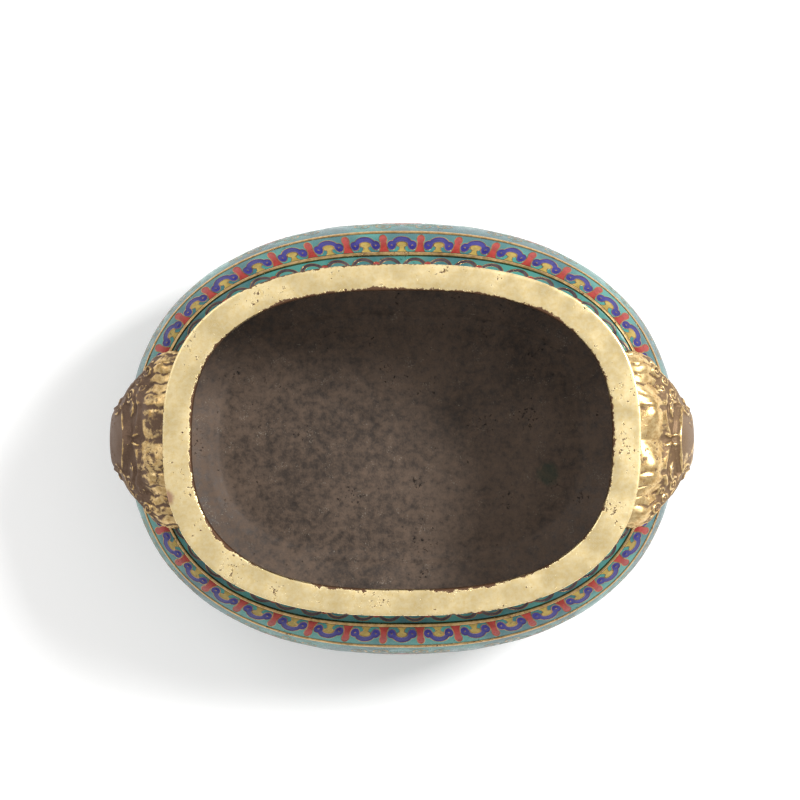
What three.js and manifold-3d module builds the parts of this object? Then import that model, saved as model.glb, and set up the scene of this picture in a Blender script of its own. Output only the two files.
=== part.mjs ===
// Oval enamelled incense burner: a bombe copper bowl under a broad flat gilt rim, on a splayed
// oval foot, with an enamel skin held between gilt fillets and a cast beast-mask handle riveted
// on each end. Millimetres, +Z up, handles along X, origin under the middle of the foot.
import * as THREE from "three";
import { mergeVertices } from "three/addons/utils/BufferGeometryUtils.js";
import Module from "manifold-3d";

const wasm = await Module();
wasm.setup();

// Outlines in plan: half length, half width and roundness of each oval
const BELLY = { a: 127.3, b: 100.5, n: 2.27 };
const RIM = { a: 107.8, b: 79.2, n: 2.6 };
const MOUTH = { a: 95.0, b: 67.4, n: 2.65 };
const ROUNDNESS_LIMIT = 2.7;

// The wall, seen in section, in insets from the belly outline and heights
const RIM_INSET = 20.4;
const FOOT_HEIGHT = 14;
const LOWER_DEPTH = 44;
const LOWER_REACH = 46;
const LOWER_RISE = 45.5;
const SHOULDER_REACH = 24;
const SHOULDER_RISE = 38;
const NECK_HOLLOW = 7;
const NECK_CURVE_HEIGHT = 9.4;
const NECK_STRAIGHT = 4.2;
const WALL = 3;
const ENAMEL = 1;
const SEAT_GAP = 0.3;

// Fillets: where each lies on the wall, as an inset, with the shared section
const NECK_FILLET_INSET = 15.1;
const SHOULDER_FILLET_INSET = 5.1;
const LOWER_FILLET_INSET = 11.5;
const FOOT_FILLET_INSET = 33.5;
const FILLET_WIDTH = 1.6;
const FILLET_PROUD = 0.35;

// Rim collar
const RIM_THICKNESS = 3.4;
const RIM_EDGE = 0.8;
const LIP_DEPTH = 7;
const LIP_WALL = 1.8;

// Foot ring and base plate
const FOOT_TOP_INSET = 35;
const FOOT_WAIST_INSET = 38;
const FOOT_WAIST_LEVEL = 8.5;
const FOOT_HEM_INSET = 34.5;
const FOOT_HEM_HEIGHT = 3.2;
const FOOT_WALL = 3.4;
const BASE_PLATE = 1.2;
const BASE_GROUND_CLEARANCE = 8.6;

// Mask handles: the casting's spread on the shoulder and its relief
const MASK_TOP_ANGLE = 86;
const MASK_CHIN_ANGLE = -26;
const MASK_EDGE = 1.3;
const MASK_SEAT = 0.35;
const MASK_BURY = 9;
const RIVET_LEVEL_ANGLES = [11, 48];
const RIVET_R = 2;
const RIVET_HEAD_R = 4;
const RIVET_HEAD = 1.8;
const RIVET_BITE = 3.2;
const RIVET_CLEARANCE = 0.3;

const RING_STEPS = 44;
const DEG = Math.PI / 180;

const BELLY_LEVEL = FOOT_HEIGHT + LOWER_DEPTH;

const enamelColour = { color: 0x3f7f86, roughness: 0.35, metalness: 0 };
const giltColour = { color: 0xd9ad58, roughness: 0.35, metalness: 1 };
const copperColour = { color: 0x4a3a2f, roughness: 0.7, metalness: 0.6 };
const bronzeColour = { color: 0x8a6a3a, roughness: 0.5, metalness: 0.9 };

// An oval between two others; t runs on past either end
function between(first, second, t) {
  return {
    a: first.a + (second.a - first.a) * t,
    b: first.b + (second.b - first.b) * t,
    n: Math.min(ROUNDNESS_LIMIT, first.n + (second.n - first.n) * t),
  };
}

// The wall's outline at an inset from the belly, through the rim's own outline
const outlineAt = (inset) => between(BELLY, RIM, inset / RIM_INSET);

function outlineRadius(oval, angle) {
  const x = Math.abs(Math.cos(angle)) / oval.a;
  const y = Math.abs(Math.sin(angle)) / oval.b;
  return (x ** oval.n + y ** oval.n) ** (-1 / oval.n);
}

function outlinePoint(oval, angle) {
  const r = outlineRadius(oval, angle);
  return new THREE.Vector2(r * Math.cos(angle), r * Math.sin(angle));
}

// The angles that part an oval into equal lengths, worked out on one quarter and mirrored
function equalAngles(oval) {
  const fine = 720;
  const lengths = [0];
  let last = outlinePoint(oval, 0);
  for (let i = 1; i <= fine; i++) {
    const next = outlinePoint(oval, (i / fine) * (Math.PI / 2));
    lengths.push(lengths[i - 1] + next.distanceTo(last));
    last = next;
  }
  const quarter = lengths[fine];
  return (share) => {
    const turn = (((share % 1) + 1) % 1) * 4;
    const side = Math.floor(turn);
    const along = side % 2 ? 1 - (turn - side) : turn - side;
    let i = lengths.findIndex((l) => l >= along * quarter - 1e-9);
    i = Math.max(1, i);
    const part = (along * quarter - lengths[i - 1]) / (lengths[i] - lengths[i - 1]);
    const angle = ((i - 1 + part) / fine) * (Math.PI / 2);
    const swept = side % 2 ? Math.PI / 2 - angle : angle;
    return (side * Math.PI) / 2 + swept;
  };
}

const angleAtShare = equalAngles(outlineAt(RIM_INSET / 2));
const ringAngles = Array.from({ length: RING_STEPS }, (_, i) => angleAtShare(i / RING_STEPS));

// A point of the wall's section, with the outward direction that layers are laid along
const station = (inset, z, outIn, outZ) => {
  const length = Math.hypot(outIn, outZ);
  return { inset, z, outIn: outIn / length, outZ: outZ / length };
};

// Above the belly an upper quarter oval, below it a lower one; the angle is 0 at the belly
function wallAt(degrees) {
  const angle = degrees * DEG;
  const [reach, rise] =
    degrees >= 0 ? [SHOULDER_REACH, SHOULDER_RISE] : [LOWER_REACH, LOWER_RISE];
  return station(
    reach * (1 - Math.cos(angle)),
    BELLY_LEVEL + rise * Math.sin(angle),
    -Math.cos(angle) / reach,
    Math.sin(angle) / rise,
  );
}

const angleAtInset = (inset, reach) => Math.acos(1 - inset / reach) / DEG;
const NECK_FILLET_ANGLE = angleAtInset(NECK_FILLET_INSET, SHOULDER_REACH);
const SHOULDER_FILLET_ANGLE = angleAtInset(SHOULDER_FILLET_INSET, SHOULDER_REACH);
const LOWER_FILLET_ANGLE = -angleAtInset(LOWER_FILLET_INSET, LOWER_REACH);
const FOOT_FILLET_ANGLE = -angleAtInset(FOOT_FILLET_INSET, LOWER_REACH);

// Degrees of the wall's section taken up by a length along it
function degreesFor(length, degrees) {
  const [reach, rise] =
    degrees >= 0 ? [SHOULDER_REACH, SHOULDER_RISE] : [LOWER_REACH, LOWER_RISE];
  const angle = degrees * DEG;
  return length / Math.hypot(reach * Math.sin(angle), rise * Math.cos(angle)) / DEG;
}

// The hollow of the neck: a quarter oval that starts on the neck fillet and ends upright
const neckFoot = wallAt(NECK_FILLET_ANGLE);
function neckAt(degrees) {
  const angle = degrees * DEG;
  return station(
    neckFoot.inset + NECK_HOLLOW * Math.sin(angle),
    neckFoot.z + NECK_CURVE_HEIGHT * (1 - Math.cos(angle)),
    -NECK_CURVE_HEIGHT * Math.sin(angle),
    NECK_HOLLOW * Math.cos(angle),
  );
}
const neckTop = neckAt(90);
const MOUTH_LEVEL = neckTop.z + NECK_STRAIGHT;
const HEIGHT = MOUTH_LEVEL + SEAT_GAP + RIM_THICKNESS;
const neckMouth = station(neckTop.inset, MOUTH_LEVEL, -1, 0);
const NECK_START = 10;
const SEAM_ANGLE = degreesFor(SEAT_GAP, 0);

const off = (s, distance) => ({
  ...s,
  inset: s.inset + s.outIn * distance,
  z: s.z + s.outZ * distance,
});
const steps = (from, to, count, at) =>
  Array.from({ length: count + 1 }, (_, i) => at(from + ((to - from) * i) / count));

// Oval turning: sweeps a section round the ovals. A section of stations closes on itself, and
// one that starts and ends on the axis is closed there. Each station gives an inset and a
// height, or an oval and a height, or only a height for a point on the axis.
function turned(section, angles = ringAngles) {
  const onAxis = (s) => s.inset === undefined && s.oval === undefined;
  const points = [];
  const rings = section.map((s) => {
    if (onAxis(s)) {
      points.push(0, 0, s.z);
      return { at: points.length / 3 - 1, single: true };
    }
    const oval = s.oval ?? outlineAt(s.inset);
    const at = points.length / 3;
    for (const angle of angles) {
      const p = outlinePoint(oval, angle);
      points.push(p.x, p.y, s.z);
    }
    return { at, single: false };
  });
  const open = rings.some((r) => r.single);
  const faces = [];
  const count = angles.length;
  for (let k = 0; k < rings.length - (open ? 1 : 0); k++) {
    const low = rings[k];
    const high = rings[(k + 1) % rings.length];
    for (let i = 0; i < count; i++) {
      const j = (i + 1) % count;
      if (low.single) faces.push(low.at, high.at + j, high.at + i);
      else if (high.single) faces.push(low.at + i, low.at + j, high.at);
      else if (section[(k + 1) % rings.length].z >= section[k].z) {
        faces.push(low.at + i, low.at + j, high.at + j);
        faces.push(low.at + i, high.at + j, high.at + i);
      } else {
        faces.push(low.at + i, low.at + j, high.at + i);
        faces.push(low.at + j, high.at + j, high.at + i);
      }
    }
  }
  const made = new THREE.BufferGeometry();
  made.setAttribute("position", new THREE.Float32BufferAttribute(points, 3));
  made.setIndex(faces);
  return made;
}

function toSolid(geometry) {
  const bare = geometry.clone();
  bare.deleteAttribute("normal");
  bare.deleteAttribute("uv");
  const merged = mergeVertices(bare, 1e-4);
  return new wasm.Manifold(
    new wasm.Mesh({
      numProp: 3,
      vertProperties: new Float32Array(merged.attributes.position.array),
      triVerts: new Uint32Array(merged.index.array),
    }),
  );
}

function toGeometry(solid) {
  const mesh = solid.getMesh();
  const made = new THREE.BufferGeometry();
  const xyz = new Float32Array(mesh.numVert * 3);
  for (let i = 0; i < mesh.numVert; i++) {
    xyz.set(mesh.vertProperties.subarray(i * mesh.numProp, i * mesh.numProp + 3), i * 3);
  }
  made.setAttribute("position", new THREE.BufferAttribute(xyz, 3));
  made.setIndex(Array.from(mesh.triVerts));
  made.computeVertexNormals();
  return made;
}

// The station lists below run up the outside and down the inside, so their faces point out

// Enamel of one field: a skin between two angles of the wall, ENAMEL thick
function enamelField(lowAngle, highAngle, count) {
  const low = lowAngle + degreesFor(FILLET_WIDTH / 2 + SEAT_GAP, lowAngle);
  const high = highAngle - degreesFor(FILLET_WIDTH / 2 + SEAT_GAP, highAngle);
  const outside = steps(low, high, count, wallAt);
  const inside = outside.map((s) => off(s, -ENAMEL)).reverse();
  return turned([...outside, ...inside]);
}

function neckEnamel() {
  const outside = [...steps(NECK_START, 90, 3, neckAt), neckMouth];
  const inside = outside.map((s) => off(s, -ENAMEL)).reverse();
  return turned([...outside, ...inside]);
}

// A fillet: a flat gilt wire let into the enamel, a little proud of it
function fillet(angle) {
  const half = degreesFor(FILLET_WIDTH / 2, angle);
  const low = wallAt(angle - half);
  const high = wallAt(angle + half);
  return turned([
    off(low, FILLET_PROUD),
    off(high, FILLET_PROUD),
    off(high, -ENAMEL),
    off(low, -ENAMEL),
  ]);
}

const BACKING_GAP = 0.4;
const SKIN = ENAMEL + BACKING_GAP;
const BOWL_FLOOR = FOOT_HEIGHT - 1.5;

// The copper bowl stands in three courses brazed edge to edge: the upper wall and the lower wall,
// which back the enamel and part at the belly, and the flat floor let into the lower one
const upperWallStations = () => [
  ...steps(SEAM_ANGLE, SHOULDER_FILLET_ANGLE, 3, wallAt),
  wallAt((SHOULDER_FILLET_ANGLE + NECK_FILLET_ANGLE) / 2),
  wallAt(NECK_FILLET_ANGLE),
  ...steps(NECK_START, 90, 3, neckAt),
  neckMouth,
];
const lowerWallStations = () => [
  ...steps(FOOT_FILLET_ANGLE - 5, LOWER_FILLET_ANGLE, 4, wallAt),
  ...steps(LOWER_FILLET_ANGLE, 0, 3, wallAt).slice(1),
];
const bothFaces = (stations) => [
  ...stations.map((s) => off(s, -SKIN)),
  ...stations.map((s) => off(s, -SKIN - WALL)).reverse(),
];

const FLOOR_TOP = BOWL_FLOOR + WALL;
const floorEdge = off(lowerWallStations()[0], -SKIN).inset + WALL;

function lowerWallSection() {
  const faces = bothFaces(lowerWallStations());
  return [
    { inset: floorEdge, z: BOWL_FLOOR },
    { inset: floorEdge - WALL / 3, z: BOWL_FLOOR },
    ...faces,
    { inset: floorEdge, z: FLOOR_TOP },
  ];
}

function bowlFloorSection() {
  const edge = floorEdge + SEAT_GAP;
  return [
    { z: BOWL_FLOOR },
    { inset: edge, z: BOWL_FLOOR },
    { inset: edge, z: FLOOR_TOP },
    { z: FLOOR_TOP },
  ];
}

// The rim collar: a flat flange with a lip let down inside the mouth
function rimSection() {
  const under = HEIGHT - RIM_THICKNESS;
  const share = (mm) => mm / (RIM.a - MOUTH.a);
  const at = (t, z) => ({ oval: between(RIM, MOUTH, t), z });
  return [
    at(share(RIM_EDGE / 2), under),
    at(0, under + RIM_EDGE),
    at(0, HEIGHT - RIM_EDGE),
    at(share(RIM_EDGE), HEIGHT),
    at(1 - share(RIM_EDGE), HEIGHT),
    at(1, HEIGHT - RIM_EDGE),
    at(1, HEIGHT - LIP_DEPTH),
    at(1 - share(LIP_WALL), HEIGHT - LIP_DEPTH),
    at(1 - share(LIP_WALL), under),
  ];
}

// The foot: a waisted ring that spreads to a flat hem
function footSection() {
  return [
    { inset: FOOT_HEM_INSET, z: 0 },
    { inset: FOOT_HEM_INSET - 0.4, z: FOOT_HEM_HEIGHT / 2 },
    { inset: FOOT_HEM_INSET + 0.6, z: FOOT_HEM_HEIGHT },
    { inset: FOOT_WAIST_INSET, z: FOOT_WAIST_LEVEL },
    { inset: FOOT_TOP_INSET + 1.6, z: BOWL_FLOOR - SEAT_GAP },
    { inset: FOOT_WAIST_INSET + FOOT_WALL, z: BOWL_FLOOR - SEAT_GAP },
    { inset: FOOT_WAIST_INSET + FOOT_WALL, z: FOOT_HEM_HEIGHT },
    { inset: FOOT_HEM_INSET + FOOT_WALL + 1.2, z: 0 },
  ];
}

// The base plate lies inside the foot, close under the bowl
function basePlateSection() {
  const edge = FOOT_WAIST_INSET + FOOT_WALL + SEAT_GAP;
  const top = BOWL_FLOOR - SEAT_GAP;
  const under = top - BASE_PLATE;
  return [{ z: under }, { inset: edge, z: under }, { inset: edge, z: top }, { z: top }];
}

// Where a line at a lateral distance y crosses the wall, and the direction out of it there
function wallPoint(degrees, y) {
  const s = wallAt(degrees);
  const oval = outlineAt(s.inset);
  const side = Math.min(0.999, Math.abs(y) / oval.b);
  const x = oval.a * (1 - side ** oval.n) ** (1 / oval.n);
  const nx = (x / oval.a) ** (oval.n - 1) / oval.a;
  const ny = (Math.sign(y) * side ** (oval.n - 1)) / oval.b;
  const plan = Math.hypot(nx, ny);
  const level = -s.outIn;
  return {
    point: new THREE.Vector3(x, y, s.z),
    out: new THREE.Vector3((nx / plan) * level, (ny / plan) * level, s.outZ),
  };
}

// Half width of the mask at an angle of the wall, from its spread wings down to the chin
const MASK_OUTLINE = [
  [MASK_CHIN_ANGLE, 8],
  [-22, 13],
  [-12, 16.5],
  [0, 17.5],
  [10.5, 20],
  [18, 23.4],
  [26, 26],
  [36, 28.6],
  [45, 31.8],
  [51, 35.3],
  [58, 39],
  [70, 41],
  [MASK_TOP_ANGLE, 40],
];
function maskHalfWidth(degrees) {
  const k = MASK_OUTLINE.findIndex(([angle]) => angle >= degrees);
  const [a1, w1] = MASK_OUTLINE[Math.max(1, k)];
  const [a0, w0] = MASK_OUTLINE[Math.max(1, k) - 1];
  return w0 + ((w1 - w0) * (degrees - a0)) / (a1 - a0);
}

const bump = (u, v) => Math.exp(-(u * u + v * v));
const ramp = (value, from, to) => THREE.MathUtils.smoothstep(value, from, to);

// Height of the mask over the wall: a domed skull, wings folded beside it, brows, eyes, a broad
// three-lobed muzzle under a raised nose ridge, jaw and chin
function maskRelief(degrees, y) {
  const side = Math.abs(y);
  const width = maskHalfWidth(degrees);
  const inside = Math.max(0, 1 - (side / width) ** 2.6);
  const skull = 4.7 * inside ** 0.6 * (1 - 0.45 * ramp(side, 20, 36));
  const crest = 2.2 * ramp(degrees, 60, 86) * inside ** 0.5;
  const lobes = 2.3 * bump((side - 13.4) / 5.6, (degrees - 68) / 9);
  const furrow = -2.1 * bump(side / 3.2, (degrees - 74) / 14);
  const wing = 2.2 * bump((side - 33) / 3.6, (degrees - 68) / 12);
  const fold = -2.0 * bump((side - 24) / 3, (degrees - 66) / 12);
  const brow = 1.4 * bump((side - 13) / 7, (degrees - 58.5) / 2.6);
  const eye = 2.1 * bump((side - 13.7) / 2.8, (degrees - 51.5) / 4);
  const muzzleWidth = 1 - ramp(side, 13.5, 17);
  const muzzle = 2.3 * muzzleWidth * ramp(degrees, 2, 12) * (1 - ramp(degrees, 40, 45));
  const tip = 0.9 * bump(side / 5, (degrees - 20) / 14);
  const nostril = 1.5 * bump((side - 11) / 3, (degrees - 20) / 7);
  const ridge = 1.2 * muzzleWidth * bump(0, (degrees - 42) / 2);
  const mouth = -3.2 * (1 - ramp(side, 9, 14)) * bump(0, (degrees + 1) / 3.5);
  const chin = 1.2 * bump(side / 8, (degrees + 11) / 6);
  const form =
    skull + crest + lobes + furrow + wing + fold + brow + eye + muzzle + tip + nostril;
  return MASK_EDGE + Math.max(0, form + ridge + mouth + chin);
}

// The mask as a lump: its carved front, closed by walls buried in the bowl
function maskLump() {
  const columns = 24;
  const rows = 28;
  const points = [];
  const faces = [];
  const front = (i, j) => j * (columns + 1) + i;
  for (let j = 0; j <= rows; j++) {
    const degrees = MASK_CHIN_ANGLE + ((MASK_TOP_ANGLE - MASK_CHIN_ANGLE) * j) / rows;
    for (let i = 0; i <= columns; i++) {
      const across = (2 * i) / columns - 1;
      const spread = Math.sin((across * Math.PI) / 2) * 0.35 + across * 0.65;
      const y = spread * maskHalfWidth(degrees);
      const { point, out } = wallPoint(degrees, y);
      points.push(...point.addScaledVector(out, maskRelief(degrees, y)).toArray());
    }
  }
  const grid = (i, j) => {
    faces.push(front(i, j), front(i + 1, j), front(i + 1, j + 1));
    faces.push(front(i, j), front(i + 1, j + 1), front(i, j + 1));
  };
  for (let j = 0; j < rows; j++) for (let i = 0; i < columns; i++) grid(i, j);
  const edge = [];
  for (let i = 0; i <= columns; i++) edge.push(front(i, 0));
  for (let j = 1; j <= rows; j++) edge.push(front(columns, j));
  for (let i = columns - 1; i >= 0; i--) edge.push(front(i, rows));
  for (let j = rows - 1; j > 0; j--) edge.push(front(0, j));
  const buried = points.length / 3;
  for (const e of edge) {
    const p = new THREE.Vector3().fromArray(points, e * 3);
    points.push(p.x * 0.8, p.y * 0.82, BELLY_LEVEL + (p.z - BELLY_LEVEL) * 0.62);
  }
  const hub = points.length / 3;
  points.push(BELLY.a * 0.66, 0, BELLY_LEVEL + MASK_BURY);
  edge.forEach((e, k) => {
    const next = (k + 1) % edge.length;
    faces.push(edge[next], e, buried + k);
    faces.push(edge[next], buried + k, buried + next);
    faces.push(buried + next, buried + k, hub);
  });
  const made = new THREE.BufferGeometry();
  made.setAttribute("position", new THREE.Float32BufferAttribute(points, 3));
  made.setIndex(faces);
  return toSolid(made);
}

// Everything the mask must clear: wall, neck and rim, swollen by the seat and by the fillets
function maskClearance() {
  const proud = FILLET_PROUD + MASK_SEAT;
  const rimUnder = HEIGHT - RIM_THICKNESS - SEAT_GAP;
  const wall = [
    ...steps(MASK_CHIN_ANGLE * 2, 0, 4, wallAt),
    ...steps(SHOULDER_FILLET_ANGLE / 2, NECK_FILLET_ANGLE, 6, wallAt),
    ...steps(40, 90, 2, neckAt),
  ].map((s) => off(s, proud));
  const top = wall[wall.length - 1];
  const low = wall[0];
  return toSolid(
    turned([
      { z: low.z },
      ...wall,
      { inset: top.inset, z: rimUnder },
      { inset: RIM_INSET - SEAT_GAP, z: rimUnder },
      { inset: RIM_INSET - SEAT_GAP, z: HEIGHT + 5 },
      { z: HEIGHT + 5 },
    ]),
  );
}

// A rivet stands along its axis from the head's flat; this puts it square to the wall
function alongWall(degrees) {
  const { point, out } = wallPoint(degrees, 0);
  const seat = -(SKIN + WALL + SEAT_GAP + 0.2);
  const frame = new THREE.Matrix4().makeRotationFromQuaternion(
    new THREE.Quaternion().setFromUnitVectors(new THREE.Vector3(0, 0, 1), out),
  );
  return frame.setPosition(point.addScaledVector(out, seat));
}
const RIVET_LENGTH = SKIN + WALL + SEAT_GAP + 0.2 + MASK_SEAT + FILLET_PROUD + RIVET_BITE;

function upright(profile, sides) {
  const lathe = new THREE.LatheGeometry(
    profile.map(([r, z]) => new THREE.Vector2(r, z)),
    sides,
  );
  return lathe.rotateX(Math.PI / 2);
}

function rivet() {
  return upright(
    [
      [0, -RIVET_HEAD],
      [RIVET_HEAD_R * 0.62, -RIVET_HEAD * 0.8],
      [RIVET_HEAD_R, 0],
      [RIVET_R, 0],
      [RIVET_R, RIVET_LENGTH],
      [0, RIVET_LENGTH],
    ],
    12,
  );
}

function rivetHole(degrees) {
  const r = RIVET_R + RIVET_CLEARANCE;
  const end = RIVET_LENGTH + RIVET_CLEARANCE;
  const hole = upright([[0, -12], [r, -12], [r, end], [0, end]], 12);
  return toSolid(hole.applyMatrix4(alongWall(degrees)));
}

const halfTurn = new THREE.Matrix4().makeRotationZ(Math.PI);
const rivetHoles = RIVET_LEVEL_ANGLES.map(rivetHole);
const allHoles = [
  ...rivetHoles,
  ...rivetHoles.map((hole) => hole.rotate([0, 0, 180])),
];
const drilled = (geometry) =>
  toGeometry(allHoles.reduce((solid, hole) => solid.subtract(hole), toSolid(geometry)));

function maskGeometry() {
  const seated = maskLump().subtract(maskClearance());
  const whole = seated.decompose().sort((p, q) => q.volume() - p.volume())[0];
  return toGeometry(rivetHoles.reduce((solid, hole) => solid.subtract(hole), whole));
}

const burner = new THREE.Group();

function add(name, geometry, look, parent = burner) {
  const mesh = new THREE.Mesh(geometry, new THREE.MeshStandardMaterial(look));
  mesh.name = name;
  parent.add(mesh);
  return mesh;
}

add("bowl_upper_wall", drilled(turned(bothFaces(upperWallStations()))), copperColour);
add("bowl_lower_wall", turned(lowerWallSection()), copperColour);
add("bowl_floor", turned(bowlFloorSection()), copperColour);
add("rim_collar", turned(rimSection()), giltColour);
add("neck_enamel", neckEnamel(), enamelColour);
add("neck_fillet", fillet(NECK_FILLET_ANGLE), giltColour);
const shoulderField = enamelField(SHOULDER_FILLET_ANGLE, NECK_FILLET_ANGLE, 3);
add("shoulder_enamel", drilled(shoulderField), enamelColour);
add("shoulder_fillet", fillet(SHOULDER_FILLET_ANGLE), giltColour);
const bellyField = enamelField(LOWER_FILLET_ANGLE, SHOULDER_FILLET_ANGLE, 6);
add("belly_enamel", drilled(bellyField), enamelColour);
add("lower_fillet", fillet(LOWER_FILLET_ANGLE), giltColour);
const lowerField = enamelField(FOOT_FILLET_ANGLE, LOWER_FILLET_ANGLE, 4);
add("petal_border_enamel", lowerField, enamelColour);
add("foot_fillet", fillet(FOOT_FILLET_ANGLE), giltColour);
add("foot_ring", turned(footSection()), giltColour);
add("base_plate", turned(basePlateSection()), giltColour);

const mask = maskGeometry();
const rivetShape = rivet();
for (const side of ["right", "left"]) {
  const end = new THREE.Group();
  if (side === "left") end.applyMatrix4(halfTurn);
  burner.add(end);
  add(`${side}_mask_handle`, mask, bronzeColour, end);
  RIVET_LEVEL_ANGLES.forEach((degrees, k) => {
    const pin = add(`${side}_rivet_${k ? "upper" : "lower"}`, rivetShape, copperColour, end);
    pin.applyMatrix4(alongWall(degrees));
  });
}

export default burner;
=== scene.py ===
"""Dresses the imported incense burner: enamel fields, gilding, patina, masks, light and camera."""

import logging
import math
from dataclasses import dataclass
from enum import Enum

import bpy
import numpy as np
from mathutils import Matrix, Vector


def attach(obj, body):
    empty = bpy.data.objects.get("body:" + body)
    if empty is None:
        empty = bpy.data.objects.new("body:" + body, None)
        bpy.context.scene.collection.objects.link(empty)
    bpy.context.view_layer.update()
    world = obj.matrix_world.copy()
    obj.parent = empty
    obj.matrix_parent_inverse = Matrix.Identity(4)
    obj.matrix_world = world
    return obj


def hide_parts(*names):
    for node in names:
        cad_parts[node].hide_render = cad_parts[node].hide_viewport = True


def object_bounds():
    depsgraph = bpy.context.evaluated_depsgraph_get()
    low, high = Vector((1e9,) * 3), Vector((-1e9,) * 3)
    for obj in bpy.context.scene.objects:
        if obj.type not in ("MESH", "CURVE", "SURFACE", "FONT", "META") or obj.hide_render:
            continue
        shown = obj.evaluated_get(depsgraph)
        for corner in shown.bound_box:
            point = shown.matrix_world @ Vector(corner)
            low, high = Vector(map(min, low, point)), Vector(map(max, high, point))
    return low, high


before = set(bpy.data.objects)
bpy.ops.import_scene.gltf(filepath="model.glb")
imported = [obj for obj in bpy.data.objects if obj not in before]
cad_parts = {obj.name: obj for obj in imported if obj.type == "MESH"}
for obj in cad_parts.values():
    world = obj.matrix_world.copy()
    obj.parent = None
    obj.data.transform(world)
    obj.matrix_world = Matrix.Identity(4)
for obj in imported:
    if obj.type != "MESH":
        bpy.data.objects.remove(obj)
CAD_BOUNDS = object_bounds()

LOG = logging.getLogger("burner")
MM = 0.001
ROOT = "root"

Array = np.ndarray
Station = tuple[Array, Array, Array, Array]
Colour = tuple[float, float, float]
Object, Material = bpy.types.Object, bpy.types.Material
Node, NodeTree, Socket = bpy.types.Node, bpy.types.NodeTree, bpy.types.NodeSocket


class Slot(Enum):
    """The record's material slots."""

    PATINA = "copper_patina"
    GILT = "gilt_copper"
    BRONZE = "gilt_bronze"
    ENAMEL = "enamel"


class Side(Enum):
    """The end of the burner that a mask sits on."""

    RIGHT = 1
    LEFT = -1


# Shape of the wall, in millimetres


@dataclass(frozen=True)
class Oval:
    """An outline in plan: half length, half width and roundness."""

    a: float
    b: float
    n: float


BELLY = Oval(127.3, 100.5, 2.27)
RIM = Oval(107.8, 79.2, 2.6)
MOUTH = Oval(95.0, 67.4, 2.65)
ROUNDNESS_LIMIT = 2.7


@dataclass(frozen=True)
class Wall:
    """The burner's wall in section, and the outlines that it is swept round."""

    rim_inset: float = 20.4
    belly_level: float = 58.0
    lower_reach: float = 46.0
    lower_rise: float = 45.5
    shoulder_reach: float = 24.0
    shoulder_rise: float = 38.0
    neck_hollow: float = 7.0
    neck_height: float = 9.4
    neck_straight: float = 4.2
    neck_inset: float = 15.1
    shoulder_inset: float = 5.1
    lower_inset: float = 11.5
    foot_inset: float = 33.5

    def between(self, first: Oval, second: Oval, t: Array) -> tuple[Array, Array, Array]:
        """Interpolates two outlines.

        Args:
            first: the outline at t 0.
            second: the outline at t 1.
            t: the share between them, which may run past either end.

        Returns:
            Half length, half width and roundness at each t.
        """
        n = np.minimum(ROUNDNESS_LIMIT, first.n + (second.n - first.n) * t)
        return first.a + (second.a - first.a) * t, first.b + (second.b - first.b) * t, n

    def ring(self, oval: tuple[Array, Array, Array], angle: Array) -> tuple[Array, Array]:
        """Points of outlines at plan angles.

        Args:
            oval: half length, half width and roundness.
            angle: plan angles in radians.

        Returns:
            The x and y of each point.
        """
        a, b, n = oval
        across = np.abs(np.cos(angle)) / a
        up = np.abs(np.sin(angle)) / b
        r = (across**n + up**n) ** (-1 / n)
        return r * np.cos(angle), r * np.sin(angle)

    def section(self, degrees: Array) -> Station:
        """The wall at angles of its section, 0 at the belly.

        Args:
            degrees: angles, positive up to the neck and negative down to the foot.

        Returns:
            Inset, height, and the outward direction as inset and height.
        """
        angle = np.radians(degrees)
        reach = np.where(degrees >= 0, self.shoulder_reach, self.lower_reach)
        rise = np.where(degrees >= 0, self.shoulder_rise, self.lower_rise)
        out_in, out_z = -np.cos(angle) / reach, np.sin(angle) / rise
        size = np.hypot(out_in, out_z)
        inset = reach * (1 - np.cos(angle))
        return inset, self.belly_level + rise * np.sin(angle), out_in / size, out_z / size

    def neck(self, degrees: Array) -> Station:
        """The hollow of the neck.

        Args:
            degrees: angles from 0 at the neck fillet to 90 where the neck stands upright.

        Returns:
            Inset, height, and the outward direction as inset and height.
        """
        _, foot_z, _, _ = self.section(np.float64(self.angle_at(self.neck_inset, True)))
        angle = np.radians(degrees)
        out_in = -self.neck_height * np.sin(angle)
        out_z = self.neck_hollow * np.cos(angle)
        size = np.hypot(out_in, out_z)
        inset = self.neck_inset + self.neck_hollow * np.sin(angle)
        return inset, foot_z + self.neck_height * (1 - np.cos(angle)), out_in / size, out_z / size

    def angle_at(self, inset: float, upper: bool) -> float:
        """The section angle at an inset.

        Args:
            inset: the inset from the belly.
            upper: whether it lies above the belly.

        Returns:
            The angle in degrees.
        """
        reach = self.shoulder_reach if upper else self.lower_reach
        angle = math.degrees(math.acos(1 - inset / reach))
        return angle if upper else -angle

    def place(self, station: Station, angle: Array, h: Array) -> Array:
        """Points on or over the wall.

        Args:
            station: inset, height and outward direction, as section or neck gives them.
            angle: plan angles in radians.
            h: height over the enamel's surface.

        Returns:
            An array of points, in millimetres.
        """
        inset, z, out_in, out_z = station
        oval = self.between(BELLY, RIM, (inset + out_in * h) / self.rim_inset)
        x, y = self.ring(oval, angle)
        return np.stack([x, y, np.broadcast_to(z + out_z * h, x.shape)], axis=-1)

    @property
    def mouth_level(self) -> float:
        """Height of the top of the neck."""
        _, z, _, _ = self.neck(np.float64(90))
        return float(z) + self.neck_straight


WALL = Wall()
SEAT_GAP = 0.3
ENAMEL = 1.0
COPPER = 3.0
BACKING_GAP = 0.4
RIM_THICKNESS = 3.4
HEIGHT = WALL.mouth_level + SEAT_GAP + RIM_THICKNESS
FLOOR_UNDER = 12.5
NECK_START = 10.0
NECK_CURVE_RUN = 12.6
OUTLINE_STEPS = 5760
RIPPLE_WAVES = 7
SHARP_FROM = 48.0


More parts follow.
